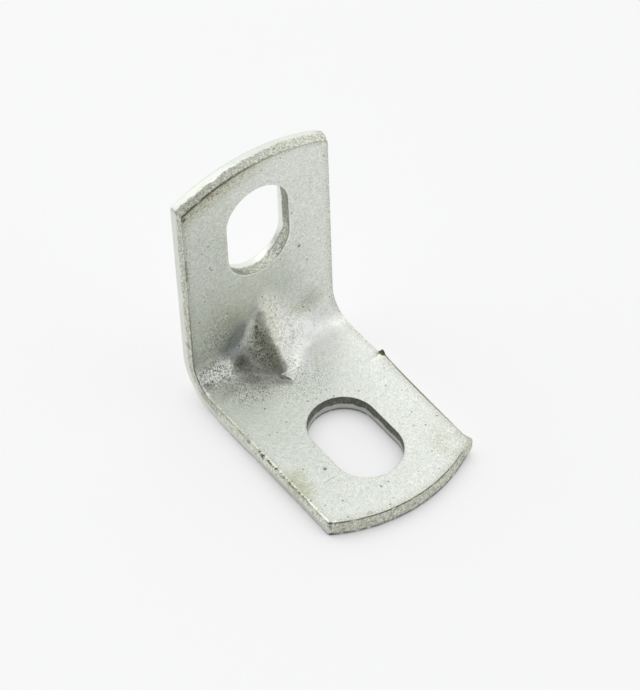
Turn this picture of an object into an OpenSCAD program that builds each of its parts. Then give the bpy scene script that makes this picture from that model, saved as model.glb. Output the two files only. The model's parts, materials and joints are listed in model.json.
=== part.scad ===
// Corner brace: one strip of zinc-plated sheet steel, folded to a right angle.
// Each leg has a rounded tip and a slot for a screw, and a gusset is pressed
// across the inside of the fold, with its hollow on the outside.
//
// X runs across the strip, -Y towards the tip of the base leg and +Z up the
// upright leg. The origin is the centre of the base leg's slot, on the underside.

/* [Sheet] */
// Thickness of the sheet
sheet_t = 1.8; // [1.4:0.1:2.4]
// Width of the strip
strip_w = 16; // [13:0.5:24]
// Inner radius of the fold
bend_r = 2.8; // [1.6:0.1:3.6]

/* [Legs] */
// Length of the upright leg, from the underside to the crown of its tip
upright_l = 26.3; // [23:0.1:45]
// Length of the base leg, from the back to the crown of its tip
base_l = 25.3; // [22:0.1:45]
// Radius of the upright leg's rounded tip
upright_tip_r = 18.7; // [13:0.1:60]
// Radius of the base leg's rounded tip
base_tip_r = 15.2; // [13:0.1:60]

/* [Slots] */
// Diameter of the screw
screw_d = 6; // [3:0.5:8]
// Slack of the slot's width over the screw
screw_slack = 0.8; // [0.2:0.1:1.5]
// Metal left between the gusset and each slot
slot_land = 4.8; // [2:0.1:6]
// Metal left between the slot and the tip of the upright leg
upright_tip_land = 3.3; // [2:0.1:5]
// Metal left between the slot and the tip of the base leg
base_tip_land = 3.9; // [2:0.1:5]

/* [Gusset] */
// How far the gusset climbs the upright leg, from the base leg's top face
gusset_rise = 5.9; // [4.5:0.1:8.5]
// How far the gusset runs out along the base leg, from the upright leg's face
gusset_run = 4.3; // [3.6:0.1:7]
// Crowning of the gusset's ridge between its two ends
gusset_crown = 0.2; // [0:0.1:1]
// Shift of the gusset's ridge from the middle of the strip, right being positive
ridge_shift = -0.5; // [-1.5:0.1:1.5]
// How far the top of the ridge leans sideways from its foot
ridge_lean = -0.4; // [-1:0.1:1]
// Slope of the gusset's left flank away from its ridge, in degrees
left_slope = 47; // [38:1:58]
// Slope of the gusset's right flank away from its ridge, in degrees
right_slope = 40; // [35:1:58]
// Radius over the gusset's ridge
ridge_r = 0.6; // [0.4:0.1:1.5]
// Radius of the punch that presses the hollow
punch_r = 0.4; // [0.2:0.1:1]
// Reach of the flare where the left flank runs into the upright leg
left_flare = 1.5; // [0.5:0.1:2.5]
// Reach of the flare where the left flank runs into the base leg
left_foot_flare = 0.6; // [0.3:0.1:1.5]
// Reach of the flare where the right flank runs into the upright leg
right_flare = 2.8; // [0.5:0.1:3]
// Reach of the flare where the right flank runs into the base leg
right_foot_flare = 1.2; // [0.3:0.1:2]
// Reach of the rounding at the mouth of the hollow
mouth = 0.8; // [0.3:0.1:1.5]

/* [Toe] */
// Height of the lap of metal at the gusset's foot, at its rear left corner
toe_h = 0.55; // [0.2:0.05:0.7]
// Height of the lap at its front corner
toe_front_h = 0.15; // [0.05:0.01:0.2]
// Width of the lap across the strip
toe_w = 3.2; // [1.5:0.1:4]
// How far the lap's front corner stands beyond the gusset's foot
toe_reach = 0.8; // [0.4:0.05:1.2]

/* [Sheared edges] */
// Distance from the back to the place where two cuts of the shear meet
cut_meet = 9.4; // [7:0.1:14]
// Mismatch of the two cuts
cut_step = 0.25; // [0.1:0.05:0.4]
// How far the burr at that place stands out
burr = 0.45; // [0.3:0.05:0.6]
// How far the base leg's front right corner is drawn out
corner_lip = 0.35; // [0.1:0.05:0.4]
// How far the upright leg's top right corner is drawn out
top_lip = 0.25; // [0.1:0.05:0.4]

/* [Hidden] */

$fn = 96;
bend_c = sheet_t + bend_r;             // fold axis, from the back and from the underside
slot_w = screw_d + screw_slack;

least_slide = 1;                       // least travel of a screw along its slot

// Slots lie between the gusset and the tip, and always let the screw slide
least_slot_l = slot_w + least_slide;
upright_slot_l = max(least_slot_l, upright_l - upright_tip_land - slot_land - gusset_rise - sheet_t);
base_slot_l = max(least_slot_l, base_l - base_tip_land - slot_land - gusset_run - sheet_t);
upright_slot_c = upright_l - upright_tip_land - upright_slot_l / 2;
base_slot_c = base_l - base_tip_land - base_slot_l / 2;

// ---- legs and fold ----

// Distance from the heel at which the tip's arc meets the sides of the strip
function shoulder(l, tip_r) = l - tip_r + sqrt(pow(tip_r, 2) - pow(strip_w / 2, 2));

// Leg laid flat: x across the strip, y from the end of the fold to the tip
module leg_outline(l, tip_r) {
    y = shoulder(l, tip_r);
    translate([-strip_w / 2, bend_c]) square([strip_w, y - bend_c]);
    intersection() {
        translate([-strip_w / 2, y]) square([strip_w, l - y]);
        translate([0, l - tip_r]) circle(r = tip_r);
    }
}

module slot_outline(l) {
    straight = l - slot_w;
    translate([-slot_w / 2, -straight / 2]) square([slot_w, straight]);
    for (s = [-1, 1]) translate([0, s * straight / 2]) circle(d = slot_w);
}

// Cut through a leg laid flat, past both of its faces
module slot(c, l) {
    translate([0, c, -sheet_t / 2]) linear_extrude(2 * sheet_t) slot_outline(l);
}

module fold() {
    translate([0, -bend_c, bend_c]) rotate([0, 90, 0])
        rotate_extrude(angle = 90)
            translate([bend_r, -strip_w / 2]) square([sheet_t, strip_w]);
}

// ---- gusset ----
// Worked out in a frame turned to the bisector of the fold: x across the strip,
// w from the base leg towards the upright leg, v from the outer heel inwards.

ridge_steps = 36;
width_steps = 36;
skin_gap = 0.02;                       // keeps the flare from grazing the sheet's faces

// A folded face at offset t from the outside, with fold radius r
function face_v(w, t, r) = abs(w) < r / sqrt(2)
    ? sqrt(2) * bend_c - sqrt(r * r - w * w)
    : sqrt(2) * t + abs(w);

// Share of the way from the gusset's foot to its top
top_w = gusset_rise / sqrt(2);
foot_w = -gusset_run / sqrt(2);
function way_up(w) = (w - foot_w) / (top_w - foot_w);
function held(share) = min(1, max(0, share));

// Ridge line, straight from foot to top but for its crowning
function ridge_v(w) = let (s = way_up(w))
    sqrt(2) * sheet_t - foot_w + s * (top_w + foot_w) + gusset_crown * (1 - pow(2 * s - 1, 2));
function ridge_x(w) = ridge_shift + ridge_lean * (way_up(w) - 0.5);

// Fall of the flanks away from the ridge line, rounded over the ridge
function slope(side) = tan(side < 0 ? left_slope : right_slope);
function fall(side, r) = let (m = slope(side), a = m * r) m * (sqrt(side * side + a * a) - a);

// Reach of the flare, changing from the foot to the top and from one flank to the other
function between(a, b, share) = a + (b - a) * held(share);
function flare(side, w) = between(between(left_foot_flare, left_flare, way_up(w)),
    between(right_foot_flare, right_flare, way_up(w)), side / 2 + 0.5);

// Larger of two heights, blended over a reach of k
function blend(a, b, k) = max(a, b) + pow(max(k - abs(a - b), 0), 2) / (4 * k);

// Solid under a gusset pressed out of a folded face, its underside deep below that face.
// reach is the longest flare, and the flare itself varies only where flared says so.
module pressing(t, r, nose, drop, reach, flared, deep) {
    w0 = foot_w - 1.3 * reach;
    w1 = top_w + 1.3 * reach;
    ws = [for (j = [0:ridge_steps]) w0 + (w1 - w0) * j / ridge_steps];
    tallest = max([for (w = ws) ridge_v(w) - drop - face_v(w, t, r)]);
    function half_x(side) = (tallest + reach) / slope(side) + slope(side) * nose;
    sides = [for (i = [0:width_steps]) let (u = 2 * i / width_steps - 1) u * half_x(u)];
    n = width_steps + 1;
    under = n * len(ws);
    points = concat(
        [for (w = ws, side = sides) let (k = flared ? flare(side, w) : reach)
            [ridge_x(w) + side, w,
                blend(face_v(w, t, r), ridge_v(w) - drop - fall(side, nose), k) - skin_gap]],
        [for (w = ws, side = [sides[0], sides[width_steps]])
            [ridge_x(w) + side, w, face_v(w, t, r) - deep]]);
    faces = concat(
        [for (j = [0:ridge_steps - 1], i = [0:width_steps - 1], half = [0, 1])
            let (a = j * n + i)
            half == 0 ? [a, a + n, a + n + 1] : [a, a + n + 1, a + 1]],
        [for (j = [0:ridge_steps - 1], half = [0, 1]) let (b = under + 2 * j)
            half == 0 ? [b, b + 1, b + 3] : [b, b + 3, b + 2]],
        [for (j = [0:ridge_steps - 1], half = [0, 1]) let (b = under + 2 * j, a = j * n)
            half == 0 ? [b, b + 2, a + n] : [b, a + n, a]],
        [for (j = [0:ridge_steps - 1], half = [0, 1])
            let (b = under + 2 * j, a = j * n + width_steps)
            half == 0 ? [b + 1, a, a + n] : [b + 1, a + n, b + 3]],
        [[under, for (i = [0:width_steps]) i, under + 1]],
        [[under + 2 * ridge_steps + 1, for (i = [width_steps:-1:0]) ridge_steps * n + i,
            under + 2 * ridge_steps]]);
    rotate([45, 0, 0]) polyhedron(points, faces);
}

module gusset() {
    longest = max(left_flare, left_foot_flare, right_flare, right_foot_flare);
    pressing(sheet_t, bend_r, ridge_r, 0, longest, true, sheet_t / 3);
}

module hollow() pressing(0, bend_c, punch_r, sheet_t, mouth, false, sheet_t);

// Lap of metal that the punch left at the gusset's foot: a three-cornered step,
// highest at its rear left corner and level with the sheet at its right corner
toe_root = 0.6;                        // how far the lap is rooted in the sheet
toe_tuck = 0.2;                        // how far its rear edge lies under the foot
toe_skew = 0.15;                       // how much further back its right corner lies

module toe() {
    foot = sheet_t + gusset_run;
    left = ridge_x(foot_w) - toe_w / 3;
    corners = [[left, -(foot - toe_tuck), toe_h],
        [left + toe_w, -(foot - toe_tuck - toe_skew), toe_h / 2],
        [left + toe_w / 4, -(foot + toe_reach), toe_front_h]];
    polyhedron(
        concat([for (c = corners) [c.x, c.y, sheet_t - toe_root]],
            [for (c = corners) [c.x, c.y, sheet_t + c.z]]),
        [[0, 2, 1], [3, 4, 5], [0, 1, 4, 3], [1, 2, 5, 4], [2, 0, 3, 5]]);
}

// ---- marks of the shear ----

burr_l = 0.5;                          // length of the burr along the edge
burr_root = 0.3;                       // how far the marks are rooted in the strip
side_x = strip_w / 2;

// Right edge: a burr, then the edge of the second cut, which runs back to the tip
module right_mark() {
    end = shoulder(base_l, base_tip_r);
    linear_extrude(sheet_t) polygon([
        [side_x - burr_root, -cut_meet + burr_l / 2],
        [side_x, -cut_meet + burr_l / 2],
        [side_x + burr, -cut_meet + burr_l / 4],
        [side_x + cut_step, -cut_meet - burr_l / 2],
        [side_x + cut_step / 4, -(cut_meet + end) / 2],
        [side_x, -end],
        [side_x - burr_root, -end]]);
}

// Left edge: the lower half bulges between the fold and the step of the cut
module left_low_mark() {
    linear_extrude(sheet_t / 2) polygon([
        [-side_x + burr_root, -bend_c],
        [-side_x, -bend_c],
        [-side_x - cut_step, -cut_meet],
        [-side_x, -cut_meet - 3 * burr_l],
        [-side_x + burr_root, -cut_meet - 3 * burr_l]]);
}

// Left edge: the upper half stands out from that step to the tip
module left_top_mark() {
    end = shoulder(base_l, base_tip_r);
    translate([0, 0, sheet_t / 2]) linear_extrude(sheet_t / 2) polygon([
        [-side_x + burr_root, -cut_meet],
        [-side_x, -cut_meet],
        [-side_x - cut_step * 2 / 3, -(2 * cut_meet + end) / 3],
        [-side_x - cut_step * 2 / 3, -(cut_meet + 2 * end) / 3],
        [-side_x, -end],
        [-side_x + burr_root, -end]]);
}

// Right corner of a tip laid flat, drawn out by the shear between two shares of
// the thickness, counted from the outer face
module drawn_corner(l, tip_r, lip, from, to) {
    end = shoulder(l, tip_r);
    function arc_y(x) = l - tip_r + sqrt(pow(tip_r, 2) - pow(x, 2));
    translate([0, 0, sheet_t * from]) linear_extrude(sheet_t * (to - from)) polygon([
        [side_x, end - 6 * lip],
        [side_x + 0.8 * lip, end],
        [side_x + 0.5 * lip, end + 1.2 * lip],
        [side_x - lip, arc_y(side_x - lip) + 0.9 * lip],
        [side_x - 7 * lip, arc_y(side_x - 7 * lip)],
        [side_x - 7 * lip, end - 6 * lip]]);
}

module brace() {
    color([0.76, 0.77, 0.75]) translate([0, base_slot_c, 0]) difference() {
        union() {
            mirror([0, 1, 0]) linear_extrude(sheet_t) leg_outline(base_l, base_tip_r);
            rotate([90, 0, 0]) linear_extrude(sheet_t) leg_outline(upright_l, upright_tip_r);
            fold();
            gusset();
            toe();
            right_mark();
            left_low_mark();
            left_top_mark();
            mirror([0, 1, 0]) drawn_corner(base_l, base_tip_r, corner_lip, 0.4, 1);
            rotate([90, 0, 0]) drawn_corner(upright_l, upright_tip_r, top_lip, 0.25, 0.75);
        }
        hollow();
        mirror([0, 1, 0]) slot(base_slot_c, base_slot_l);
        rotate([90, 0, 0]) slot(upright_slot_c, upright_slot_l);
    }
}

brace();
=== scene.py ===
import json
import math

import bmesh
import bpy
import numpy as np
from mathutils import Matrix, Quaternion, Vector, noise


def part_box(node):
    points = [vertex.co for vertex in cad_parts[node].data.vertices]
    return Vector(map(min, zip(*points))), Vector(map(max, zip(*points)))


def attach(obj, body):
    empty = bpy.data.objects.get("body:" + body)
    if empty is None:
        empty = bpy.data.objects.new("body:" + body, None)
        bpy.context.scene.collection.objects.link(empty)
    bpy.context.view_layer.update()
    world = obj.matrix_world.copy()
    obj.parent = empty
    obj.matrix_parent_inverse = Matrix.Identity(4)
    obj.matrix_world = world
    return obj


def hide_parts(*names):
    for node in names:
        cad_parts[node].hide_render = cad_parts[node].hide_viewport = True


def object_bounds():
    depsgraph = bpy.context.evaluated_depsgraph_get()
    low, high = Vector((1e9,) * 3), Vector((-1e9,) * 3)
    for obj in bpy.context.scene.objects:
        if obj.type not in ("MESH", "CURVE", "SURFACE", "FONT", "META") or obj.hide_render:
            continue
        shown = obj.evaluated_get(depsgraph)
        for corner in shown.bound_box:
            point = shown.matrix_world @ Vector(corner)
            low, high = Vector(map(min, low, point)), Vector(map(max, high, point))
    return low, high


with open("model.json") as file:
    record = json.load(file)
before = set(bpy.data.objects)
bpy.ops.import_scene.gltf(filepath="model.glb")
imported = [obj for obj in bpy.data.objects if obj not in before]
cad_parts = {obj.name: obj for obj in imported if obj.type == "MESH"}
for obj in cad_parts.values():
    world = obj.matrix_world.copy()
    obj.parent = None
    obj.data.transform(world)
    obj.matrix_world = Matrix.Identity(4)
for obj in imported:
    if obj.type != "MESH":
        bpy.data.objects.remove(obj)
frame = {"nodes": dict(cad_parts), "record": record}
cad_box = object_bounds()

MM = 0.001

# ---- sizes, in millimetres, in the frame of the part ----

low, high = (np.array(corner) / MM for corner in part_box("brace"))
mounts = {mount["name"]: mount for mount in frame["record"]["mounts"]}
cad_points = np.array([v.co for v in frame["nodes"]["brace"].data.vertices]) / MM

SLOT_W = 2 * mounts["upright_slot"]["dims"]["hole_r_mm"]
SLOT_L = mounts["upright_slot"]["dims"]["slot_length_mm"]
UPRIGHT_SLOT_Z = mounts["upright_slot"]["pos_m"][2] / MM
BACK = high[1]                                   # y of the upright leg's back
UPRIGHT_L = high[2]
BASE_L = BACK - low[1]
HALF_W = np.abs(cad_points[cad_points[:, 2] > UPRIGHT_SLOT_Z, 0]).max()
SHEET = cad_points[cad_points[:, 1] < low[1] + 1, 2].max()

BEND_R = 2.8
UPRIGHT_TIP_R = 18.7
BASE_TIP_R = 15.2

GUSSET_RISE = 5.9
GUSSET_RUN = 4.3
GUSSET_CROWN = 0.2
RIDGE_X = -0.5           # the ridge stands a little to the left of the middle
RIDGE_LEAN = -0.4        # and its top leans this far to the left of its foot
LEFT_SLOPE = math.tan(math.radians(47))
RIGHT_SLOPE = math.tan(math.radians(40))
RIDGE_R = 0.6
PUNCH_R = 0.4
LEFT_FLARE = (0.6, 1.5)      # reach of the flares at the gusset's foot and at its top
RIGHT_FLARE = (1.2, 2.8)
MOUTH = 0.8

# A small lap of metal at the gusset's foot: each corner's place across the strip
# and forward from its back, and its height over the base leg.
TOE = ((-1.37, 5.9, 0.55), (1.83, 5.75, 0.275), (-0.57, 6.9, 0.15))
TOE_WALL = 0.08

BEND_C = SHEET + BEND_R
FOLD_L = math.pi / 2 * (BEND_R + SHEET / 2)      # the fold's length when laid flat
FOLD_SHIFT = BEND_C - FOLD_L / 2                 # what a flat place gains in distance from the heel


# ---- modelling helpers ----

def nothing_selected():
    bpy.ops.object.select_all(action="DESELECT")


def only(obj):
    nothing_selected()
    obj.select_set(True)
    bpy.context.view_layer.objects.active = obj


def edit(obj):
    only(obj)
    bpy.ops.object.mode_set(mode="EDIT")
    bpy.ops.mesh.select_all(action="DESELECT")
    return bmesh.from_edit_mesh(obj.data)


def leave_edit():
    bpy.ops.object.mode_set(mode="OBJECT")


def pick(obj, mode, test):
    """Selects the vertices, edges or faces of a mesh in edit mode that pass the test."""
    bpy.ops.mesh.select_mode(type=mode)
    bpy.ops.mesh.select_all(action="DESELECT")
    mesh = bmesh.from_edit_mesh(obj.data)
    kind = {"VERT": mesh.verts, "EDGE": mesh.edges, "FACE": mesh.faces}[mode]
    for item in kind:
        if test(item):
            item.select_set(True)
    mesh.select_flush_mode()
    bmesh.update_edit_mesh(obj.data)


def apply_all(obj):
    only(obj)
    for modifier in list(obj.modifiers):
        bpy.ops.object.modifier_apply(modifier=modifier.name)


def take_away(obj, cutter):
    only(obj)
    cut = obj.modifiers.new("cut", "BOOLEAN")
    cut.operation = "DIFFERENCE"
    cut.solver = "EXACT"
    cut.object = cutter
    apply_all(obj)
    bpy.data.objects.remove(cutter)


# ---- the blank: the strip before it is folded ----
# x across the strip, y along it with the fold's middle at 0 and the upright leg
# on the plus side, z from the outer face of the sheet to its inner face.

UPRIGHT_FLAT = FOLD_L / 2 + UPRIGHT_L - BEND_C
BASE_FLAT = FOLD_L / 2 + BASE_L - BEND_C
UPRIGHT_SLOT_FLAT = FOLD_L / 2 + UPRIGHT_SLOT_Z - BEND_C
BASE_SLOT_FLAT = -(FOLD_L / 2 + BACK - BEND_C)


def tip(obj, crown, radius, side):
    """Rounds one end of the flat outline, by spinning its corner over to the other one."""
    centre = crown - side * radius
    half = math.asin(HALF_W / radius)
    shoulder = centre + side * radius * math.cos(half)
    pick(obj, "VERT", lambda v: v.co.x > 0 and v.co.y * side > 0)
    mesh = bmesh.from_edit_mesh(obj.data)
    for v in mesh.verts:
        if v.co.y * side > 0:
            v.co.y = shoulder
    bmesh.update_edit_mesh(obj.data)
    bpy.ops.mesh.spin(steps=80, angle=-2 * half * side, center=(0, centre, 0), axis=(0, 0, 1))


def slot_cutter(y):
    """A drill of the slot's width, parted at its middle and drawn out to the slot's length."""
    sides = 128
    bpy.ops.mesh.primitive_cylinder_add(vertices=sides, radius=SLOT_W / 2, depth=4 * SHEET)
    cutter = bpy.context.object
    edit(cutter)
    bpy.ops.mesh.select_all(action="SELECT")
    half_step = math.pi / sides
    bpy.ops.transform.rotate(value=half_step, orient_axis="Z", center_override=(0, 0, 0))
    bpy.ops.transform.translate(value=(0, y, 0))
    for side in (-1, 1):
        pick(cutter, "VERT", lambda v: (v.co.y - y) * side > 0)
        bpy.ops.transform.translate(value=(0, side * (SLOT_L - SLOT_W) / 2, 0))
    leave_edit()
    return cutter


def cut_across(obj, axis, places, within=lambda f: True):
    """Cuts the faces that pass the test along planes square to an axis."""
    normal = [0, 0, 0]
    normal[axis] = 1
    for place in places:
        pick(obj, "FACE", within)
        point = [0, 0, 0]
        point[axis] = place
        bpy.ops.mesh.bisect(plane_co=point, plane_no=normal)


OUTER_ROUND = 0.2        # rounding that the shear draws on the face it enters
INNER_ROUND = 0.07
CORNER_ROUND = 0.25      # rounding of the corners where the tips' arcs begin
GUSSET_X = 5.6           # reach of the gusset's fine grid across the strip
GUSSET_Y = 8.6           # and along it, from the middle of the fold
CELL = 0.166             # side of the fine grid's squares
DENT = 0.045             # depth of the dents that the punch left
TEAR_IN = 0.05           # how far the torn band of a wall lies behind its smooth band
TEAR_ROUGH = 0.05        # and how rough it is
CORNER_LIP = 0.4         # how far the base's front right corner is drawn out
TOP_LIP = 0.25           # and the upright's top right corner
BURR = 9.35              # the burr's distance forward from the back
BURR_RISE = 0.4          # how far it stands up from the inner face
BURR_CUTS = (HALF_W - 0.55, HALF_W - 0.35, HALF_W - 0.2)
# how far the sides of the base stand out, at these distances forward from the back
RIGHT_BULGE = ((8.95, 9.2, 9.45, 9.8, 10.7, 12.5, 17, 20, 23),
               (0, 0.34, 0.42, 0.3, 0.23, 0.15, 0.07, 0.05, 0))
LEFT_LOW_BULGE = ((4.8, 6.4, 7.4, 9.1, 9.7, 10.4, 11), (0, 0.1, 0.18, 0.24, 0.14, 0.06, 0))
LEFT_TOP_BULGE = ((8.8, 9.6, 12, 16, 20), (0, 0.1, 0.16, 0.14, 0))
CAD_GAP = 0.001          # the finished walls stay this far inside the part's box


def rim(edge, z):
    """An edge between a face of the sheet, at height z, and a cut wall."""
    flat = [abs(v.co.z - z) < 1e-4 for v in edge.verts]
    return all(flat) and len(edge.link_faces) == 2 and edge.calc_face_angle() > 1


def rim_line(edge):
    """An edge where a face of the sheet ends and the rounding into a wall begins."""
    flat = [abs(f.normal.z) > 0.999 for f in edge.link_faces]
    return len(flat) == 2 and flat[0] != flat[1]


def blank():
    bpy.ops.mesh.primitive_plane_add(size=2)
    strip = bpy.context.object
    strip.name = "brace_steel"
    edit(strip)
    bpy.ops.mesh.select_all(action="SELECT")
    bpy.ops.transform.resize(value=(HALF_W, 1, 1))
    tip(strip, UPRIGHT_FLAT, UPRIGHT_TIP_R, 1)
    tip(strip, -BASE_FLAT, BASE_TIP_R, -1)
    bpy.ops.mesh.select_all(action="SELECT")
    bpy.ops.mesh.remove_doubles(threshold=1e-4)
    shoulders = [v.co.y for v in bmesh.from_edit_mesh(strip.data).verts if abs(v.co.x) > HALF_W - 1e-3]
    top, bottom = max(shoulders), min(shoulders)
    pick(strip, "VERT", lambda v: v.co.y > top - 1e-4)
    bpy.ops.mesh.edge_face_add()
    pick(strip, "VERT", lambda v: v.co.y < bottom + 1e-4)
    bpy.ops.mesh.edge_face_add()
    bpy.ops.mesh.select_mode(type="FACE")
    bpy.ops.mesh.select_all(action="SELECT")
    bpy.ops.mesh.dissolve_limited(angle_limit=0.01)
    bpy.ops.mesh.select_all(action="SELECT")
    bpy.ops.mesh.extrude_region_move(TRANSFORM_OT_translate={"value": (0, 0, SHEET)})
    bpy.ops.mesh.select_all(action="SELECT")
    bpy.ops.mesh.normals_make_consistent(inside=False)
    pick(strip, "EDGE", lambda e: abs(e.verts[0].co.z - e.verts[1].co.z) > 1 and e.calc_face_angle() > 0.5)
    bpy.ops.mesh.bevel(offset=CORNER_ROUND, segments=4, affect="EDGES")
    leave_edit()
    return strip


def cut_toe(strip):
    """Cuts the inner face round the toe along the toe's sides and a fine grid."""
    def near(face):
        x, y, _ = face.calc_center_median()
        return face.normal.z > 0.9 and abs(x) < 2.4 and -7.6 < y - FOLD_SHIFT < -5.2

    for axis, start, end in ((0, -1.9, 2.3), (1, FOLD_SHIFT - 7.3, FOLD_SHIFT - 5.3)):
        cut_across(strip, axis, np.arange(start, end, 0.1), near)
    corners = [np.array([x, FOLD_SHIFT - d, SHEET]) for x, d, _ in TOE]
    for a, b in zip(corners, corners[1:] + corners[:1]):
        normal = np.cross(b - a, (0, 0, 1))
        normal /= np.linalg.norm(normal)
        for inset in (0, TOE_WALL):
            pick(strip, "FACE", near)
            bpy.ops.mesh.bisect(plane_co=a - normal * inset, plane_no=normal)


# ---- fold and gusset, by the same rules as the frame's solid ----
# y and z are counted from the outer heel here; w runs along the bisector's
# normal towards the upright leg and v along the bisector, into the corner.

TOP_W = GUSSET_RISE / math.sqrt(2)
FOOT_W = -GUSSET_RUN / math.sqrt(2)


def face_v(w, t, r):
    round_part = math.sqrt(2) * BEND_C - np.sqrt(np.maximum(r * r - w * w, 0))
    return np.where(np.abs(w) < r / math.sqrt(2), round_part, math.sqrt(2) * t + np.abs(w))


def ridge_v(w):
    s = (w - FOOT_W) / (TOP_W - FOOT_W)
    crown = GUSSET_CROWN * (1 - (2 * s - 1) ** 2)
    return math.sqrt(2) * SHEET - FOOT_W + s * (TOP_W + FOOT_W) + crown


def fall(x, r):
    slope = np.where(x < 0, LEFT_SLOPE, RIGHT_SLOPE)
    a = slope * r
    return slope * (np.sqrt(x * x + a * a) - a)


def lift(x, w, t, r, nose, drop, reach):
    """How far pressing raises a face of the sheet along the bisector."""
    face = face_v(w, t, r)
    ridge = ridge_v(w) - drop - fall(x, nose)
    blend = np.maximum(reach - np.abs(face - ridge), 0) ** 2 / (4 * reach)
    return np.maximum(face, ridge) + blend - face


def bent(flat):
    """Places of flat points once the strip is folded, before its gusset is pressed."""
    s, depth = flat[:, 1], flat[:, 2]
    turn = np.clip(s / FOLD_L + 0.5, 0, 1) * math.pi / 2
    beyond = s - np.clip(s, -FOLD_L / 2, FOLD_L / 2)
    radius = BEND_C - depth
    y = -BEND_C + radius * np.sin(turn) + np.minimum(beyond, 0)
    z = BEND_C - radius * np.cos(turn) + np.maximum(beyond, 0)
    return y, z


def pressed(flat):
    """How far each point lies to the right of the gusset's ridge, and how far the
    inner face and the outer face are raised there."""
    y, z = bent(flat)
    w = (z + y) / math.sqrt(2)
    way_up = (w - FOOT_W) / (TOP_W - FOOT_W)
    side = flat[:, 0] - RIDGE_X - RIDGE_LEAN * (way_up - 0.5)
    left_flare, right_flare = (np.interp(way_up, [0, 1], flare) for flare in (LEFT_FLARE, RIGHT_FLARE))
    flare = left_flare + (right_flare - left_flare) * np.clip(side / 2 + 0.5, 0, 1)
    inner = lift(side, w, SHEET, BEND_R, RIDGE_R, 0, flare)
    outer = lift(side, w, 0, BEND_C, PUNCH_R, SHEET, MOUTH)
    return side, inner, outer


def folded(flat):
    """Places of flat points once the strip is folded and its gusset is pressed."""
    y, z = bent(flat)
    side, inner, outer = pressed(flat)
    raised = (outer + (inner - outer) * flat[:, 2] / SHEET) / math.sqrt(2)
    y, z = y - raised, z + raised
    y, z = dented(flat, y, z, side, inner)
    lap = np.where((flat[:, 1] < 0) & (flat[:, 2] > SHEET - 1e-3), toe(flat[:, 0], -y), 0)
    return np.stack([flat[:, 0], y, np.where(lap > 0, np.maximum(z, SHEET + lap), z)], 1)


def dented(flat, y, z, side, inner):
    """Small dents that the punch left round the gusset, on the inner face only."""
    x = flat[:, 0]
    near = (flat[:, 2] > SHEET - 1e-3) & (np.abs(x) < GUSSET_X - 0.2) & (np.abs(flat[:, 1]) < GUSSET_Y - 0.2)
    places = np.stack([x, y, z], 1)[near]
    patch = 1 - rise(np.hypot((x[near] + 5.2) / 2.4, (places[:, 1] + 2.8) / 1.8), 0.5, 1)
    raised = np.clip(inner[near] / 0.8, 0, 1)
    left = raised * rise(-x[near], -0.6, 0.6)
    right = raised * rise(x[near], -0.6, 0.6)
    crest = (1 - rise(np.abs(side[near]), 0.3, 1.1)) * raised
    depth = DENT * (left + 0.35 * right + 0.8 * patch + 0.9 * crest)
    depth *= grain(places, 0.9, 5) + 0.7 * grain(places, 0.42, 23)
    y, z = y.copy(), z.copy()
    y[near] -= depth / math.sqrt(2)
    z[near] += depth / math.sqrt(2)
    return y, z


def toe(x, forward):
    """Height of the lap over the base: a flat, tilted top with steep sides."""
    places = np.array([(px, pd, 1) for px, pd, _ in TOE])
    slope_x, slope_d, height = np.linalg.solve(places, [h for _, _, h in TOE])
    inside = np.full(len(x), np.inf)
    for (px, pd, _), (qx, qd, _) in zip(TOE, TOE[1:] + TOE[:1]):
        reach = ((qx - px) * (forward - pd) - (qd - pd) * (x - px)) / math.hypot(qx - px, qd - pd)
        inside = np.minimum(inside, reach)
    return (slope_x * x + slope_d * forward + height) * np.clip(inside / TOE_WALL, 0, 1)


def points_of(obj):
    flat = np.empty(3 * len(obj.data.vertices))
    obj.data.vertices.foreach_get("co", flat)
    return flat.reshape(-1, 3)


def move_points(obj, points):
    obj.data.vertices.foreach_set("co", points.ravel())
    obj.data.update()


def keep(obj, name, values):
    """Stores a measure of every point for the material to read."""
    obj.data.attributes.new(name, "FLOAT", "POINT").data.foreach_set("value", values.astype(np.float32))


def rise(value, low, high):
    t = np.clip((value - low) / (high - low), 0, 1)
    return t * t * (3 - 2 * t)


def grain(points, scale, seed):
    """Smooth noise between about -1 and 1."""
    return np.array([noise.noise(Vector(p)) for p in points / scale + seed])


def tip_shoulder(length, radius):
    """Distance from the back or the underside at which a tip's arc meets the sides."""
    return length - radius + math.sqrt(radius ** 2 - HALF_W ** 2)


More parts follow.
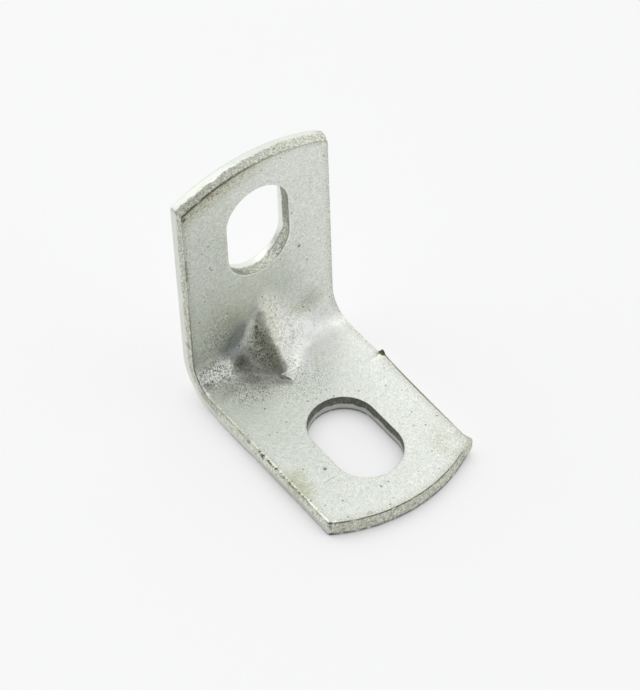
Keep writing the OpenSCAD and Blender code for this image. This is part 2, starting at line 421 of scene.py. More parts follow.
def shear_marks(flat):
    """How far the sides of the base stand out, where two cuts of the shear meet and
    at the right corners of both tips, which the shear has drawn out."""
    x, s, depth = flat.T
    forward = FOLD_SHIFT - s
    share = depth / SHEET
    right, low, top = (np.interp(forward, *bulge) for bulge in (RIGHT_BULGE, LEFT_LOW_BULGE, LEFT_TOP_BULGE))
    left = low * (1 - rise(share, 0.4, 0.6)) + top * rise(share, 0.4, 0.6)
    edge = rise(np.abs(x), HALF_W - 0.6, HALF_W - 0.1)
    shift = np.zeros((len(flat), 2))
    shift[:, 0] = np.where(x > 0, right, -left) * edge
    upward = FOLD_SHIFT + s
    for lip, corner, way, part in (
            (CORNER_LIP, forward - tip_shoulder(BASE_L, BASE_TIP_R), -1, rise(share, 0.1, 0.55)),
            (TOP_LIP, upward - tip_shoulder(UPRIGHT_L, UPRIGHT_TIP_R), 1,
             rise(share, 0.05, 0.4) * (1 - rise(share, 0.6, 0.95)))):
        out = np.hypot(x - HALF_W + 2, corner + 2)
        away = np.hypot(x - HALF_W, np.where(corner < 0, 2 * corner, corner))
        drawn = lip * part * (1 - rise(away, 0.3, 2)) * rise(out, 1.4, 2.6)
        shift[:, 0] += drawn * (x - HALF_W + 2) / np.maximum(out, 0.1)
        shift[:, 1] += way * drawn * (corner + 2) / np.maximum(out, 0.1)
    return shift


def burr_rise(flat):
    """How far the metal stands up at the edge where the shear's two cuts meet."""
    x, s, depth = flat.T
    forward = FOLD_SHIFT - s
    near = 1 - rise(np.abs(forward - BURR), 0.05, 0.4)
    return BURR_RISE * near * rise(x, HALF_W - 0.55, HALF_W - 0.15) * rise(depth, SHEET - 0.5, SHEET)


def wear_walls(strip):
    """Tears the inner half of every cut wall and leaves its outer half smooth. Keeps
    measures of that for the finish: how much a place is wall, how torn it is, how
    bright its two bands are, and where grime and painted shade darken its rims."""
    flat = points_of(strip)
    normals = np.empty(flat.size)
    strip.data.vertices.foreach_get("normal", normals)
    normals = normals.reshape(-1, 3)
    wall = rise(np.hypot(normals[:, 0], normals[:, 1]), 0.3, 0.85)
    on_wall = wall > 0
    x, s, depth = flat[on_wall].T
    part = flat[on_wall]
    share = depth / SHEET
    across = normals[on_wall, 0]

    def bore(middle):
        return (np.abs(x) < SLOT_W / 2 + 0.1) & (np.abs(s - middle) < SLOT_L / 2 + 0.1)

    in_upright, in_base = bore(UPRIGHT_SLOT_FLAT), bore(BASE_SLOT_FLAT)
    slot_low = rise(UPRIGHT_SLOT_FLAT - s, 0, 3)
    edge = ~in_upright & ~in_base
    top_arc = edge & (s > UPRIGHT_FLAT - 2.2) & (np.abs(across) < 0.8)
    front_arc = edge & (s < -BASE_FLAT + 3) & (np.abs(across) < 0.8)
    left = edge & (across < -0.8)
    to_right = np.clip((x + 5) / 10, 0, 1)
    kinds = [in_upright, in_base, top_arc, front_arc]
    torn_from = np.select(kinds, [0.42, 0.45, 0.46 - 0.1 * to_right, 0.1], 0.5)
    smooth = np.select(kinds, [1.08, 0.66, 0.95 + 0.1 * to_right, 0.9],
                       1.03 - np.where(left, 0.09 + 0.15 * rise(-s, 8, 16), 0))
    rough = np.select(kinds, [0.5 + 0.35 * slot_low * rise(x, -2.5, 0), 0.24, 0.56 + 0.34 * to_right, 0.86],
                      0.86 + 0.22 * rise(-s, 3, 6))
    line = torn_from + 0.09 * grain(part * [1, 1, 0.2], 1.1, 7) + 0.05 * grain(part * [1, 1, 0.2], 0.35, 31)
    torn = wall[on_wall] * rise(share, line - 0.04, line + 0.06)
    inner_rim = rise(depth, SHEET - 0.2, SHEET - 0.1)
    outer_rim = 1 - rise(depth, 0.22, 0.4)
    left_share = np.where(s > 0, 1 - rise(s, 8, 13), 0.7 - 0.4 * rise(-s, 7, 10))
    # dark lines along the inner and outer rims: grime, and painted shade
    dirt = np.select(
        kinds + [left],
        [0.3 * inner_rim,
         0.4 * inner_rim + 0.9 * outer_rim,
         (1 - 0.8 * rise(x, -4, 3)) * inner_rim,
         (1 - rise(x, 5.5, 7.5)) * inner_rim + 0.8 * outer_rim,
         left_share * inner_rim + 0.4 * rise(-s, 3, 6) * outer_rim],
        0.6 * inner_rim)
    dirt = dirt * rise(grain(part * [1, 1, 0.3], 0.5, 43) + 0.55, 0, 0.5)
    shift = torn * (-TEAR_IN + TEAR_ROUGH * (0.6 * grain(part, 0.42, 3) + 0.4 * grain(part, 0.19, 11)))
    shift += 0.006 * grain(part * [1, 1, 0.25], 0.3, 19) - 0.004
    flat[on_wall, :2] += normals[on_wall, :2] * shift[:, None]
    shift = shear_marks(flat)
    flat[:, 2] += burr_rise(flat)
    flat[:, :2] += shift
    move_points(strip, flat)
    for name, values in (("wall", wall[on_wall]), ("torn", torn), ("dirt", dirt),
                         ("band", smooth + (rough - smooth) * torn)):
        full = np.zeros(len(flat))
        full[on_wall] = values
        keep(strip, name, full)


def mark_gusset(strip):
    """Keeps measures of the gusset for the finish: its left flank, which gets painted shade,
    its right one, which gets painted light, its worn ridge and the lap at its foot."""
    flat = points_of(strip)
    side, inner, _ = pressed(flat)
    on_face = flat[:, 2] > SHEET / 2
    y, z = bent(flat)
    near = inner > 0.02
    ragged = np.zeros(len(flat))
    places = np.stack([flat[:, 0], y, z], 1)[near]
    ragged[near] = 0.35 * grain(places, 0.8, 61) + 0.25 * grain(places, 0.4, 67)
    # the left flank gets painted shade, the right flank painted light
    scuffed = rise(-side + ragged, -0.3, 0.7) * rise(inner, 0.5, 1.2) * on_face
    polished = rise(side + ragged, 0.0, 0.9) * rise(inner, 0.03, 0.5) * on_face
    crest = (1 - rise(np.abs(side + 0.25), 0.1, 0.8)) * rise(inner, 0.5, 1.2) * on_face
    lap = np.where(flat[:, 1] < 0, np.clip(toe(flat[:, 0], -y) / 0.1, 0, 1), 0) * on_face
    for name, values in (("scuffed", scuffed), ("polished", polished), ("crest", crest), ("lap", lap)):
        keep(strip, name, values)


def make_brace():
    strip = blank()
    take_away(strip, slot_cutter(UPRIGHT_SLOT_FLAT))
    take_away(strip, slot_cutter(BASE_SLOT_FLAT))
    edit(strip)
    pick(strip, "EDGE", lambda e: rim(e, 0))
    bpy.ops.mesh.bevel(offset=OUTER_ROUND, segments=4, affect="EDGES", clamp_overlap=True)
    pick(strip, "EDGE", lambda e: rim(e, SHEET))
    bpy.ops.mesh.bevel(offset=INNER_ROUND, segments=2, affect="EDGES", clamp_overlap=True)
    cut_across(strip, 2, np.linspace(OUTER_ROUND, SHEET - INNER_ROUND, 12)[1:-1])
    cut_across(strip, 1, np.arange(-BASE_FLAT + CELL, UPRIGHT_FLAT, CELL))
    cut_across(strip, 0, np.arange(-GUSSET_X, GUSSET_X + CELL / 2, CELL),
               lambda f: abs(f.calc_center_median().y) < GUSSET_Y and abs(f.normal.z) > 0.9)
    burr_y = FOLD_SHIFT - BURR
    cut_across(strip, 0, BURR_CUTS,
               lambda f: abs(f.calc_center_median().y - burr_y) < 0.6 and f.normal.z > 0.9)
    cut_toe(strip)
    pick(strip, "FACE", lambda f: abs(f.normal.z) < 0.9)
    bpy.ops.mesh.subdivide(number_cuts=1)
    pick(strip, "EDGE", rim_line)
    bpy.ops.mesh.mark_sharp()
    leave_edit()
    mark_gusset(strip)
    wear_walls(strip)
    flat = points_of(strip)
    heel = np.array([0, BACK, 0])
    points = np.clip(folded(flat) + heel, low + CAD_GAP, high - CAD_GAP)
    move_points(strip, points * MM)
    only(strip)
    bpy.ops.object.shade_smooth()
    return strip


# ---- shader maths ----

class Wire:
    """A shader socket that takes part in Python expressions."""

    def __init__(self, tree, socket):
        self.tree, self.socket = tree, socket

    def _math(self, operation, *values):
        return self.tree.node("ShaderNodeMath", {"operation": operation}, *values)

    def __add__(self, other):
        return self._math("ADD", self, other)

    __radd__ = __add__

    def __mul__(self, other):
        return self._math("MULTIPLY", self, other)

    __rmul__ = __mul__

    def __sub__(self, other):
        return self._math("SUBTRACT", self, other)

    def __rsub__(self, other):
        return self._math("SUBTRACT", other, self)

    def __rtruediv__(self, other):
        return self._math("DIVIDE", other, self)

    def __abs__(self):
        return self._math("ABSOLUTE", self)


class Tree:
    """A node tree that is written as expressions."""

    def __init__(self, owner):
        owner.use_nodes = True
        self.nodes, self.links = owner.node_tree.nodes, owner.node_tree.links
        self.nodes.clear()

    def node(self, kind, settings=None, *values, out=0, **named):
        """Adds a node; values fill its sockets by number, named ones by name."""
        made = self.nodes.new(kind)
        for name, value in (settings or {}).items():
            setattr(made, name, value)
        filled = [(i, value) for i, value in enumerate(values) if value is not None]
        for key, value in filled + list(named.items()):
            name = key if isinstance(key, int) else key.replace("_", " ")
            socket = made.inputs[name]
            if isinstance(value, Wire):
                self.links.new(value.socket, socket)
            elif socket.type == "RGBA" and len(value) == 3:
                socket.default_value = (*value, 1)
            else:
                socket.default_value = value
        return Wire(self, made.outputs[out]) if len(made.outputs) else None

    def vector(self, operation, *values, out=0, **named):
        return self.node("ShaderNodeVectorMath", {"operation": operation}, *values, out=out, **named)

    def clamp(self, value, low=0.0, high=1.0):
        return self.node("ShaderNodeClamp", None, value, low, high)

    def larger(self, a, b):
        return self.node("ShaderNodeMath", {"operation": "MAXIMUM"}, a, b)

    def reach(self, a, b):
        """Length of the vector with these two components."""
        return self.vector("LENGTH", self.node("ShaderNodeCombineXYZ", None, a, b), out="Value")

    def measure(self, name):
        return self.node("ShaderNodeAttribute", {"attribute_name": name}, out="Fac")

    def noise(self, at, size, detail=2.0, roughness=0.5):
        """Noise whose features are about this many millimetres across."""
        return self.node("ShaderNodeTexNoise", None, Vector=at, Scale=1 / size, Detail=detail,
                         Roughness=roughness)

    def step(self, value, low, high, to_low=0.0, to_high=1.0):
        """A smooth rise from one value to another."""
        return self.node("ShaderNodeMapRange", {"interpolation_type": "SMOOTHSTEP"},
                         value, low, high, to_low, to_high)

    def mix(self, factor, a, b):
        sockets = [factor] + [None] * 5 + [a, b]
        return self.node("ShaderNodeMix", {"data_type": "RGBA"}, *sockets, out=2)

    def patch(self, at, centre, radii, soft=0.6):
        """1 in the middle of an ellipsoid, falling to 0 at its surface. Its centre is
        counted across the strip, forward from the back and up from the underside."""
        across, forward, up = centre
        away = self.vector("SUBTRACT", at, (across, BACK - forward, up))
        return self.step(self.vector("LENGTH", self.vector("DIVIDE", away, radii), out="Value"),
                         1 - soft, 1.0, 1.0, 0.0)

    def streak(self, at, start, end, radius, soft=0.6):
        """1 along a line between two places, falling to 0 at a distance from it."""
        a, b = (Vector((x, BACK - forward, up)) for x, forward, up in (start, end))
        off = self.vector("SUBTRACT", at, tuple(a))
        way = (b - a).normalized()
        along = self.clamp(self.vector("DOT_PRODUCT", off, tuple(way), out="Value"), 0.0, (b - a).length)
        away = self.vector("SUBTRACT", off, self.vector("SCALE", tuple(way), Scale=along))
        return self.step(self.vector("LENGTH", away, out="Value"), radius * (1 - soft), radius, 1.0, 0.0)


# ---- materials ----

PLATING = ((0.75, 0.78, 0.715), (0.83, 0.85, 0.80))     # its darker and its lighter clouds
OLIVE = (0.64, 0.655, 0.52)
# painted light on the gusset's right flank
LIT_FLANK = (0.85, 0.855, 0.81)
GREENISH = (0.77, 0.78, 0.66)           # low on the upright leg
DULLED = (0.60, 0.60, 0.43)             # the ridge's right shoulder
# grime and painted shade in the fold's bend and at the gusset's foot
FOLD_GRIME_AND_SHADE = (0.42, 0.43, 0.37)
# painted shade on the gusset's left flank, paler at its top and deepest in its darkest parts
LEFT_FLANK_SHADE = (0.385, 0.385, 0.30)          # the gusset's left flank
PALE_FLANK_SHADE = (0.60, 0.60, 0.49)         # its top
DEEP_FLANK_SHADE = (0.25, 0.25, 0.17)         # and its darkest parts
# painted shade with dark specks at the foot of the gusset's left flank
FOOT_SHADE_AND_SPECKS = (0.17, 0.175, 0.14)
WORN_CREST = (0.62, 0.625, 0.53)
SHADED = (0.42, 0.445, 0.45)            # the dip to the left of the gusset
# painted highlight at the fold's left end
PAINTED_GLEAM = (0.97, 0.97, 0.90)
# painted shade on the lap's tilted top
SHADED_LAP = (0.60, 0.605, 0.57)
# painted light to the right of the gusset
PAINTED_LIGHT = (0.92, 0.925, 0.895)
WORN_RIM = (0.70, 0.70, 0.56)
FLECK_GROUND = (0.60, 0.60, 0.44)
BROWN_FLECK = (0.36, 0.34, 0.2)
BROWN_LINE = (0.72, 0.66, 0.42)
RESIDUE = (0.52, 0.53, 0.36)

# Single marks: each one's place across the strip, forward from its back and up,
# its radius, and the share of light that it takes away.
MARKS = (
    ((4.44, 1.8, 12.83), 0.25, 0.85), ((-4.55, 17.55, 1.8), 0.26, 0.75), ((-4.16, 7.2, 1.8), 0.22, 0.4),
    ((0.82, 4.0, 3.78), 0.3, 0.35), ((-4.99, 5.76, 1.8), 0.14, 0.5), ((-4.68, 6.31, 1.8), 0.15, 0.5),
    ((-5.57, 1.8, 10.38), 0.13, 0.5), ((-6.35, 1.8, 12.27), 0.14, 0.4), ((-6.45, 1.8, 20.58), 0.12, 0.4),
    ((-3.42, 2.68, 2.96), 0.9, 0.35), ((-7.6, 3.1, 2.23), 0.7, 0.3), ((-6.26, 23.39, 1.8), 0.2, 0.4),
    ((-7.85, 1.8, 24.0), 0.35, 0.7), ((-7.97, 22.97, 1.72), 0.34, 0.7), ((-7.95, 23.0, 0.1), 0.4, 0.6),
    ((-8.05, 22.93, 1.2), 0.35, 0.5), ((-8.2, 12.72, 1.66), 0.4, 0.75), ((-8.14, 10.5, 1.75), 0.4, 0.45),
    ((-7.67, 2.89, 2.38), 0.5, 0.35), ((-7.05, 2.98, 2.31), 0.5, 0.35), ((-8.14, 1.06, 6.9), 0.5, 0.35),
    ((4.59, 21.89, 1.8), 0.16, 0.4), ((5.1, 16.0, 1.8), 0.14, 0.35), ((7.3, 11.0, 1.8), 0.16, 0.4))

MEASURES = ("wall", "torn", "dirt", "band", "scuffed", "polished", "crest", "lap")


class Plating(Tree):
    """A node tree with what the steps of the plating share: places in millimetres,
    the measures kept with the mesh, noises, and distances from the outline."""

    def __init__(self, owner):
        super().__init__(owner)
        self.exact = self.vector("SCALE", self.node("ShaderNodeTexCoord", out="Object"), Scale=1 / MM)
        self.wavy = self.shaken(1.1, 3.0, 1.6)
        self.ragged = self.shaken(3.5, 2.0, 1.8)
        for name in MEASURES:
            setattr(self, name, self.measure(name))
        self.face = 1 - self.wall

        self.clouds = self.noise(self.exact, 3.0, 3)
        self.stain = self.noise(self.exact, 1.1, 3, 0.6)
        self.mottle = self.noise(self.exact, 0.45, 3, 0.6)
        self.blotch = self.noise(self.exact, 0.4, 2, 0.7)
        self.coarse = self.noise(self.exact, 0.22, 2, 0.7)
        self.fine = self.noise(self.exact, 0.12, 2, 0.6)
        self.sparkle = self.noise(self.exact, 0.07, 1)
        self.streaks = self.noise(self.vector("MULTIPLY", self.exact, (1, 1, 0.25)), 0.16, 2, 0.7)

        # how far a place lies past the outline of the strip
        self.across, self.along, self.up = (
            self.node("ShaderNodeSeparateXYZ", None, self.exact, out=axis) for axis in "XYZ")
        self.to_top = self.reach(self.across, self.up - (UPRIGHT_L - UPRIGHT_TIP_R)) - UPRIGHT_TIP_R
        self.to_front = self.reach(self.across, self.along - (BACK - BASE_L + BASE_TIP_R)) - BASE_TIP_R
        self.past = self.larger(abs(self.across) - HALF_W, self.larger(self.to_top, self.to_front))
        self.on_upright = self.step(self.up, 3, 6)
        self.on_base = self.step(self.up, 3, 2.2)

    def shaken(self, scale, detail, reach):
        """Places that a noise moves by up to about half of this reach."""
        noise = self.node("ShaderNodeTexNoise", None, Vector=self.exact, Scale=scale, Detail=detail,
                          out="Color")
        away = self.vector("SUBTRACT", noise, (0.5, 0.5, 0.5))
        return self.vector("ADD", self.exact, self.vector("SCALE", away, Scale=reach))

    def from_slot(self, way, middle):
        """Distance outside the wall of a slot that runs this way."""
        straight = (SLOT_L - SLOT_W) / 2
        return self.reach(self.across, self.larger(abs(way - middle) - straight, 0.0)) - SLOT_W / 2


def plain_plating(t):
    """Clouded grey with olive stains near the cut edges and at the front right corner.
    Keeps how stained a place is."""
    t.stained = (
        t.patch(t.wavy, (6.6, 22.3, 1.8), (2.6, 3.6, 2)) + t.patch(t.wavy, (-5.8, 1.8, 25), (4, 2, 2.2)) * 0.8
        + t.patch(t.wavy, (-7.2, 17.5, 1.8), (1.3, 3.0, 1.5)) + t.polished * 0.5 + t.scuffed
        + t.patch(t.wavy, (4.4, 1.8, 4.6), (2.2, 1.5, 1.4)) * 1.2)
    color = t.mix(t.clouds, *PLATING)
    color = t.mix(t.step(t.stain, 0.35, 0.75) * (0.15 + 0.6 * t.stained), color, OLIVE)
    # painted light: the gusset's right flank is made lighter
    color = t.mix(t.polished * t.face, color, LIT_FLANK)
    low_upright = t.patch(t.exact, (-2.5, 1.8, 9.0), (6.5, 1.5, 5.5), 0.9)
    return t.mix(low_upright * 0.5, color, GREENISH)


def press_marks(t, color):
    """Painted shade, painted light, stains and grime round the gusset. Keeps how far they hide the metal."""
    dull = (t.streak(t.wavy, (0.25, 2.5, 6.7), (0.2, 3.7, 4.8), 1.2, 0.9)
            * t.step(t.blotch, 0.4, 0.6, 0.3, 1.0) * t.step(t.fine, 0.35, 0.6, 0.4, 1.0))
    color = t.mix(dull, color, DULLED)

    # grime and painted shade in the bend at the fold's left end and in front of the foot
    fold_grime_and_shade = t.clamp(
        t.patch(t.wavy, (-6.1, 3.8, 1.9), (3.6, 1.9, 1.3), 0.7)
        + t.patch(t.wavy, (-1.8, 5.2, 1.9), (3.2, 1.8, 1.4), 0.6)
        + t.streak(t.wavy, (-3.4, 3.1, 2.4), (-2.4, 4.8, 1.8), 1.2, 0.8)
        * t.step(t.fine, 0.35, 0.55, 0.5, 1.1)
        + t.streak(t.wavy, (-7.4, 2.0, 3.6), (-4.3, 2.0, 3.5), 0.8, 0.8) * 0.5)
    color = t.mix(fold_grime_and_shade * 0.75, color, FOLD_GRIME_AND_SHADE)

    # painted shade on the left flank: darkest along its ridge and at its left foot,
    # paler at its top and along a strip at its left edge
    strip = t.streak(t.exact, (-1.8, 2.35, 6.4), (-2.45, 2.6, 4.7), 0.75, 0.7)
    pale = t.streak(t.wavy, (-0.75, 2.4, 7.3), (-0.65, 3.1, 6.0), 0.75, 0.8)
    left_foot = t.streak(t.ragged, (-2.8, 2.6, 3.7), (-3.4, 3.1, 2.6), 1.2, 0.8)
    dark = t.clamp(
        t.streak(t.wavy, (-1.05, 2.3, 7.3), (-1.6, 2.8, 5.4), 0.4, 0.8) * 0.8
        + t.streak(t.wavy, (-1.25, 3.3, 4.9), (-0.95, 5.3, 2.8), 1.1, 0.9)
        + left_foot * t.step(t.coarse, 0.38, 0.56, 0.35, 1.0))
    dark = dark * t.step(t.polished, 0.9, 0.0) * (1 - 0.7 * strip)
    flank_shade = t.scuffed * (1 - 0.8 * strip) * t.step(t.blotch, 0.3, 0.65, 0.45, 0.75)
    # painted shade on the left flank
    color = t.mix(flank_shade, color, LEFT_FLANK_SHADE)
    color = t.mix(pale * t.step(t.blotch, 0.35, 0.6, 0.5, 1.0), color, PALE_FLANK_SHADE)
    color = t.mix(dark * (1 - 0.6 * pale) * t.step(t.blotch, 0.3, 0.6, 0.35, 0.8), color, DEEP_FLANK_SHADE)
    # painted shade with dark specks in the crease at the left flank's foot
    foot_shade_and_specks = (t.streak(t.ragged, (-4.0, 3.0, 2.4), (-3.4, 4.2, 1.9), 1.2, 0.8)
                 + t.streak(t.ragged, (-2.6, 4.8, 1.9), (-0.6, 6.2, 1.8), 0.7, 0.8) * 0.4)
    color = t.mix(foot_shade_and_specks * t.step(t.coarse, 0.4, 0.6, 0.35, 0.95), color, FOOT_SHADE_AND_SPECKS)
    color = t.mix(t.crest * t.step(t.blotch, 0.35, 0.6, 0.15, 0.75), color, WORN_CREST)
    dip = t.streak(t.exact, (-2.45, 1.9, 6.1), (-4.3, 2.0, 4.0), 1.35, 0.85)
    color = t.mix(dip * 0.75 * (1 - strip), color, SHADED)

    # a painted highlight at the fold's left end, painted shade on the lap, and painted light to the right of
    # the gusset
    painted_gleam = t.streak(t.ragged, (-6.3, 2.6, 2.7), (-5.2, 2.5, 2.8), 1.05, 0.7)
    painted_gleam = painted_gleam * t.step(t.coarse, 0.4, 0.58, 0.25, 1.0)
    color = t.mix(painted_gleam, color, PAINTED_GLEAM)
    # painted shade on the lap
    color = t.mix(t.lap * 0.7, color, SHADED_LAP)
    # painted light: lighter patches to the right of the gusset, on the fold and on the upright beside it
    shine = t.larger(t.streak(t.wavy, (4.6, 2.7, 2.6), (7.8, 2.7, 2.6), 1.4, 0.9),
                     t.patch(t.wavy, (4.4, 1.8, 7.0), (2.8, 1.3, 2.6), 0.9))
    bright = t.larger(t.patch(t.wavy, (4.8, 4.2, 2.3), (4.0, 3.6, 2.6), 0.85) * (1 - shine),
                      t.streak(t.wavy, (1.6, 6.6, 1.8), (2.6, 5.0, 1.85), 1.2, 0.9) * 0.8)
    t.veil = t.clamp(bright + fold_grime_and_shade + pale + foot_shade_and_specks)
    return t.mix(t.larger(bright, 0.8 * shine), color, PAINTED_LIGHT)


def rim_marks(t, color):
    """Wear, brown lines, flecks and residue along the cut edges, with painted shade at the second cut
    and the burr. Keeps how worn a place is, how brown, how flecked, and where the painted rim highlights and
    the crumbs are."""
    t.brink = t.step(t.past + (t.mottle - 0.5) * 1.4, -0.9, 0.0) * t.face
    color = t.mix(t.brink * 0.25 + t.torn * 0.45, color, WORN_RIM)

    # a brown line just inside the outline: under the top, along the front and up the left
    line = (t.step(t.to_top, -0.6, -0.35) * t.step(t.across, 4, -4, 0.15, 0.9)
            + t.step(t.to_front, -0.5, -0.2) * t.step(t.across, 7, 6) * t.step(t.stain, 0.4, 0.6, 0.35, 0.75)
            + t.step(t.across, -7, -7.5) * t.step(t.up, 15, 11) * t.step(t.up, 1.9, 2.6) * 0.5
            + t.on_upright * 0.2
            + t.streak(t.exact, (-8.1, 2.1, 3.4), (-8.1, 3.3, 2.2), 0.5, 0.6) * 0.4)
    line = line * t.step(t.past, t.step(t.to_top, -0.6, -0.3, -0.16, -0.28), -0.05) * t.face
    # the second cut stands further out, most at the burr; its edge is painted dark as shade
    beyond_burr = t.larger(BACK - 9.6 - t.along, 0.0)
    drawn_out = 0.04 + 0.26 / (1 + beyond_burr * beyond_burr * 0.12)
    second_cut = (t.step(t.past - drawn_out, -0.26, -0.12) * t.step(t.along, BACK - 8.9, BACK - 9.2)
                  * t.step(t.across, 7, 7.5))
    line = line + second_cut * t.step(t.along, BACK - 23, BACK - 15, 0.2, 0.9) * t.face
    # painted shade on the burr
    t.line = line + t.patch(t.exact, (HALF_W + 0.15, BURR, SHEET), (0.42, 0.5, 0.9), 0.3)

    # a painted highlight on the face's rim below the upright's slot
    off_slot = t.from_slot(t.up, UPRIGHT_SLOT_Z)
    t.slot_crease = (t.step(off_slot, 0.02, 0.1) * t.step(off_slot, 0.35, 0.2)
                     * t.step(t.up, UPRIGHT_SLOT_Z, UPRIGHT_SLOT_Z - 3) * t.on_upright * t.face)
    off_slot = t.from_slot(t.along, 0.0)
    t.slot_line = t.step(off_slot, 0.2, 0.08) * t.step(off_slot, -0.05, 0.03) * t.on_base * t.face

    # a painted highlight on a crease and dark crumbs at the left rim of the base
    left_rim = t.step(t.across, -7.2, -7.6) * t.step(t.up, 4, 2.4) * t.face
    t.crease = (left_rim * t.step(t.past, -0.36, -0.28) * t.step(t.past, -0.1, -0.18)
                * t.step(t.stain, 0.35, 0.5))
    crumbs = (t.streak(t.exact, (-7.9, 12.0, 1.8), (-7.9, 12.6, 1.8), 0.5)
              + t.streak(t.exact, (-7.9, 13.6, 1.8), (-7.9, 14.8, 1.8), 0.5)
              + t.streak(t.exact, (-7.9, 15.8, 1.8), (-7.9, 19.5, 1.8), 0.6) * 0.7
              + t.patch(t.exact, (-7.9, 9.2, 1.8), (0.5, 1.0, 0.6)) * 0.7)
    t.crumbs = (crumbs * t.step(t.noise(t.exact, 0.3, 2, 0.7), 0.45, 0.55) * left_rim
                * t.step(t.past, -0.4, -0.1))

    # brown flecks under the upright's top edge, on the inner face
    t.flecked = (t.step(t.to_top, -2.4, -0.4) * t.step(t.across, 2.5, -3) * t.step(t.to_top, 0.1, -0.1)
                 * t.face * t.on_upright * t.step(t.along, BACK - 0.6, BACK - 1.4))
    color = t.mix(t.flecked * 0.35, color, FLECK_GROUND)
    color = t.mix(t.flecked * t.step(t.coarse, 0.5, 0.6), color, BROWN_FLECK)
    color = t.mix(t.line, color, BROWN_LINE)
    residue = t.larger(t.patch(t.wavy, (-7.7, 17.6, 1.8), (1.5, 2.6, 1.2), 0.6) * t.step(t.coarse, 0.35, 0.6),
                       t.patch(t.exact, (-4.4, 24.2, 1.7), (0.4, 0.3, 0.5), 0.4) * 0.8)
    return t.mix(residue * 0.8, color, RESIDUE)


def face_tone(t):
    """Share of its colour that a face shows: grain, painted highlights and painted shade,
    specks and lines. Keeps where the plating is rough and how strong its grain is."""
    t.rough_spots = (t.patch(t.wavy, (-6.3, 2.7, 2.6), (2.6, 2.2, 2.2))
                     + t.patch(t.wavy, (-4, 5.5, 1.8), (3.2, 2.4, 2)))
    foot_spots = t.patch(t.wavy, (0.2, 7.4, 1.8), (4.5, 3.2, 2))
    low_left = t.patch(t.wavy, (-5.5, 1.8, 6.5), (3.2, 1.5, 4.5), 0.8)
    t.grainy = (1.0 + 3.4 * t.scuffed + 3.4 * t.rough_spots + 0.9 * t.polished + 1.2 * low_left
                + 0.8 * t.torn + 0.4 * t.stained + 0.8 * t.brink + foot_spots)
    tone = (1 + (t.fine - 0.5) * 0.9 * t.grainy + (t.coarse - 0.5) * 0.5 * t.grainy
            + (t.mottle - 0.5) * (0.4 + 0.4 * t.polished + 0.6 * t.rough_spots))
    # painted highlights on the rims, and dark crumbs
    tone = tone * (1 + 0.6 * t.crease + 0.16 * t.slot_crease) * (1 - 0.9 * t.crumbs)
    # painted shade and light: the upright leg is a little darker, and the base leg is lighter towards the
    # fold
    tone = tone * (1 - 0.06 * t.on_upright)
    tone = tone * (1 + t.on_base * t.step(t.along, BACK - 24, BACK - 6, -0.05, 0.075))
    speckled = t.clamp(t.rough_spots + foot_spots + 0.5 * t.scuffed + 0.7 * t.flecked)
    tone = tone * (1 - 0.45 * t.step(t.noise(t.exact, 0.15, 1), 0.6, 0.68) * speckled)
    # a painted highlight on the lap's edge, painted shade beside it, and painted shade to the right of the
    # ridge
    tone = tone * (1 + 0.6 * t.streak(t.exact, (-1.35, 5.98, 2.3), (1.2, 5.88, 2.1), 0.22, 0.6))
    tone = tone * (1 - 0.35 * t.streak(t.exact, (-1.7, 6.3, 1.8), (-0.75, 7.1, 1.8), 0.45, 0.9))
    tone = tone * (1 - 0.25 * t.streak(t.exact, (1.9, 5.8, 2.0), (-0.4, 7.0, 1.9), 0.2, 0.7))
    tone = tone * (1 - 0.14 * t.slot_line)
    tone = tone * (1 - 0.12 * t.streak(t.wavy, (2.55, 2.5, 4.2), (2.1, 3.6, 2.9), 0.8, 0.9))
    cells = [t.node("ShaderNodeTexVoronoi", None, Vector=t.exact, Scale=1.3, Randomness=1.0, out=out)
             for out in ("Distance", "Color")]
    chosen = t.step(t.node("ShaderNodeSeparateColor", None, cells[1]), 0.45, 0.85)
    tone = tone * (1 - 0.6 * t.step(cells[0], 0.08, 0.17, 1.0, 0.0) * chosen * t.face)
    return tone * (1 - 0.14 * t.brink) * (1 - 0.8 * t.clamp(t.line))


def wall_tone(t):
    """Share of its colour that a cut wall shows: a smooth band and a torn, pitted one."""
    pits = t.step(t.noise(t.exact, 0.2, 2, 0.6), 0.3, 0.42, 1 - 0.4 * t.torn, 1.0)
    streaked = 1 + (t.streaks - 0.5) * (0.15 + 1.2 * t.torn)
    return t.band * (streaked + ((t.coarse - 0.5) * 1.6 + (t.mottle - 0.5) * 0.7) * t.torn) * pits


def single_marks(t):
    """Share of light that is left where a speck, a nick or the scratch lies."""
    left = 1.0
    for centre, size, depth in MARKS:
        left = left * (1 - depth * t.patch(t.exact, centre, (size, size, size), 0.8))
    nick = t.streak(t.exact, (-8.05, 1.8, 18.7), (-8.05, 1.8, 16.2), 0.18, 0.6)
    left = left * (1 - 0.55 * nick * t.step(t.coarse, 0.35, 0.55))
    scratch = t.patch(t.exact, (-4.9, 18.85, 1.8), (1.2, 0.09, 0.2))
    return left * (1 - 0.25 * scratch)


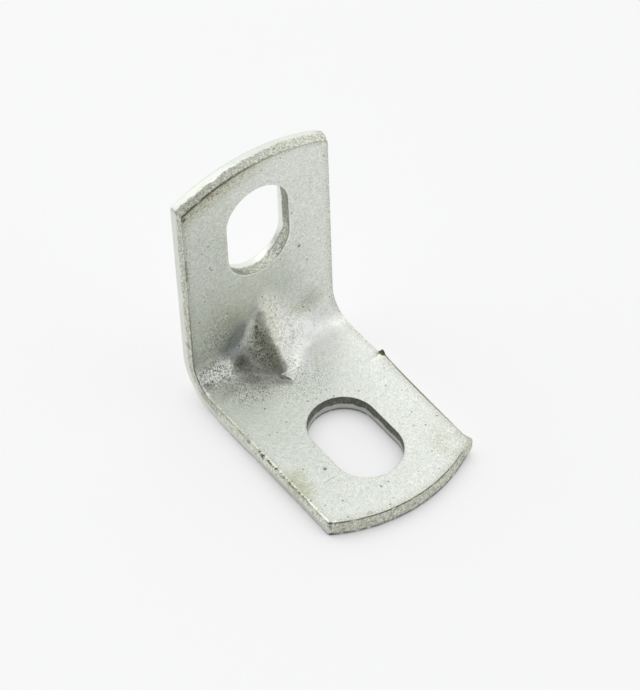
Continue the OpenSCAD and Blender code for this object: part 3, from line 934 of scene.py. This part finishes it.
def zinc_plate():
    """Zinc plating: mottled grey with olive stains, torn and burnished bands on the
    cut walls, and painted shade and painted light round the gusset and on the rims."""
    material = bpy.data.materials.new("zinc_plate")
    t = Plating(material)
    color = rim_marks(t, press_marks(t, plain_plating(t)))
    tone = face_tone(t) * t.face + wall_tone(t) * t.wall
    # darker along the rims: grime and painted shade
    tone = tone * (1 - 0.75 * t.dirt * t.step(t.mottle, 0.25, 0.5, 0.6, 1.0)) * single_marks(t)
    color = t.vector("SCALE", color, Scale=t.clamp(tone, 0.02, 1.3))
    bump = ((t.fine - 0.5) * t.grainy + (t.sparkle - 0.5) * (0.3 + t.scuffed + t.rough_spots)
            + (t.streaks - 0.5) * t.torn
            + (t.mottle - 0.5) * (2.5 * t.scuffed + 2.0 * t.rough_spots + 1.2 * t.polished))
    shader = t.node(
        "ShaderNodeBsdfPrincipled", None, Base_Color=color, Metallic=1 - 0.75 * t.veil,
        Roughness=t.step(t.fine, 0.3, 0.7, 0.34, 0.44) + 0.2 * t.torn + 0.15 * t.crest,
        Normal=t.node("ShaderNodeBump", None, Strength=0.35, Distance=0.00003, Height=bump))
    t.node("ShaderNodeOutputMaterial", None, shader)
    return material


def seen(t, *kinds):
    """1 for a ray of any of these kinds, else 0."""
    total = 0.0
    for kind in kinds:
        total = total + t.node("ShaderNodeLightPath", out=kind)
    return t.clamp(total)


FLOOR_GLOW = 0.6        # share of its own pale colour that the floor shows, apart from its shadow


def pale_floor():
    """White paper that keeps a soft shadow."""
    material = bpy.data.materials.new("pale_floor")
    t = Tree(material)
    paper = t.node("ShaderNodeBsdfDiffuse", None, (0.97, 0.97, 0.97))
    glow = t.node("ShaderNodeEmission", None, (1, 1, 1), 1.0)
    seen_share = seen(t, "Is Camera Ray", "Is Glossy Ray", "Is Transmission Ray")
    # close to the part the paper darkens where the light from behind does not reach it
    reached = t.node("ShaderNodeAmbientOcclusion", {"samples": 8}, Distance=2.5 * MM,
                     Normal=tuple(towards(-145, 40)), out="AO")
    glowing = seen_share * FLOOR_GLOW * t.step(reached, 0.3, 0.95, 0.3, 1.0)
    t.node("ShaderNodeOutputMaterial", None, t.node("ShaderNodeMixShader", None, glowing, paper, glow))
    return material


def towards(azimuth, elevation):
    """Direction to a place round the object: azimuth 0 is in front, 90 at the right."""
    a, e = math.radians(azimuth), math.radians(elevation)
    return Vector((math.sin(a) * math.cos(e), -math.cos(a) * math.cos(e), math.sin(e)))


def studio(world):
    """A sky that is bright above and at the right and dims towards the low left."""
    t = Tree(world)
    way = t.node("ShaderNodeTexCoord", out="Generated")

    def toward(azimuth, elevation):
        return t.vector("DOT_PRODUCT", way, tuple(towards(azimuth, elevation)), out="Value")

    level = t.step(toward(-60, 22), -0.05, 0.8, 1.0, 0.16)
    dark = t.step(toward(-35, 45), 0.7, 0.93, 1, 0.6)
    t.node("ShaderNodeOutputWorld", None,
           t.node("ShaderNodeBackground", None, (0.98, 0.99, 1), level * dark))


# ---- the brace ----

nothing_selected()
brace = make_brace()
brace.data.materials.append(zinc_plate())
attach(brace, "root")
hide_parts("brace")

# ---- floor, light and camera ----

middle = (Vector(cad_box[0]) + Vector(cad_box[1])) / 2

nothing_selected()
bpy.ops.mesh.primitive_plane_add(size=4, location=(0, 0, 0))
floor = bpy.context.object
floor.name = "floor"
floor.data.materials.append(pale_floor())


def softbox(name, azimuth, elevation, distance, size, radiance):
    lamp = bpy.data.lights.new(name, "AREA")
    lamp.shape = "RECTANGLE"
    lamp.size, lamp.size_y = size
    lamp.energy = radiance * math.pi * size[0] * size[1]
    obj = bpy.data.objects.new(name, lamp)
    bpy.context.collection.objects.link(obj)
    back = towards(azimuth, elevation)
    obj.location = middle + back * distance
    obj.rotation_euler = (-back).to_track_quat("-Z", "Y").to_euler()


softbox("softbox_behind", -145, 48, 0.5, (0.5, 0.5), 0.6)
softbox("softbox_above", 0, 88, 0.5, (0.35, 0.35), 1.3)

bpy.context.scene.world = bpy.data.worlds.new("studio")
studio(bpy.context.scene.world)

LENS = 155.7
DISTANCE = 0.27163
ROLL = math.radians(-2.286)
VIEW = (-34.76, 48.02)                      # the camera's azimuth and elevation
AIM = Vector((-1.309, -0.083, -0.733))      # what it looks at, from the middle of the part's box
camera_data = bpy.data.cameras.new("camera")
camera = bpy.data.objects.new("camera", camera_data)
bpy.context.collection.objects.link(camera)
camera_data.lens = LENS
camera_data.clip_start = 0.01
back = towards(*VIEW)
camera.location = middle + AIM * MM + back * DISTANCE
camera.rotation_mode = "QUATERNION"
camera.rotation_quaternion = (-back).to_track_quat("-Z", "Y") @ Quaternion((0, 0, 1), ROLL)
bpy.context.scene.camera = camera
bpy.context.scene.view_settings.view_transform = "Standard"
